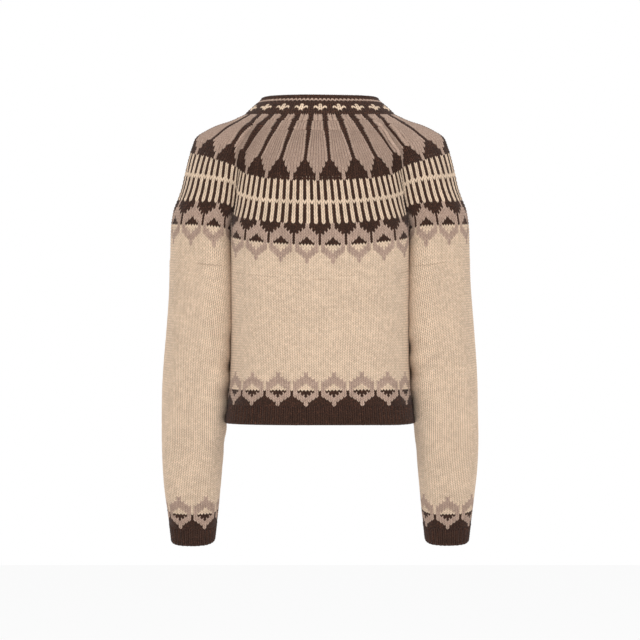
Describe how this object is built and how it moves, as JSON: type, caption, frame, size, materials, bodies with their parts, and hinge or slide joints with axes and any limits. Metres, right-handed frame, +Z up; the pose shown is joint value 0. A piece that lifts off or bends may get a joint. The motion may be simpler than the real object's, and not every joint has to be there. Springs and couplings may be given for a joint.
{
  "type": "round-yoke knitted cardigan",
  "caption": "Cropped round-yoke cardigan in colour-work knitting, with long sleeves, ribbed hem and cuffs and a buttoned front, filled out as worn",
  "frame": {"origin": "middle of the neck opening at the foot of the neckband, where the garment is carried", "axes": "+Z up, -Y the way the wearer faces, +X the wearer's left"},
  "size_m": [0.5048, 0.2283, 0.7174],
  "materials": {
    "dark_wool": "heathered dark brown wool, ribbed or plain knit",
    "yoke_wool": "stranded colour-work knit in dark brown, taupe and cream wool",
    "cream_wool": "matt cream wool in stocking stitch with a colour-work border",
    "button": "satin brown"
  },
  "bodies": {
    "root": {"neckband": "dark_wool", "yoke_back": "yoke_wool", "yoke_shoulder_left": "yoke_wool", "yoke_shoulder_right": "yoke_wool", "yoke_front_left": "yoke_wool", "yoke_front_right": "yoke_wool", "body_back": "cream_wool", "body_front_left": "cream_wool", "body_front_right": "cream_wool", "hem_back": "dark_wool", "hem_front_left": "dark_wool", "hem_front_right": "dark_wool", "sleeve_left": "cream_wool", "sleeve_right": "cream_wool", "cuff_left": "dark_wool", "cuff_right": "dark_wool", "button_band_left": "dark_wool", "button_band_right": "dark_wool", "button_1": "button", "button_2": "button", "button_3": "button", "button_4": "button", "button_5": "button", "button_6": "button", "button_7": "button"}
  },
  "joints": []
}
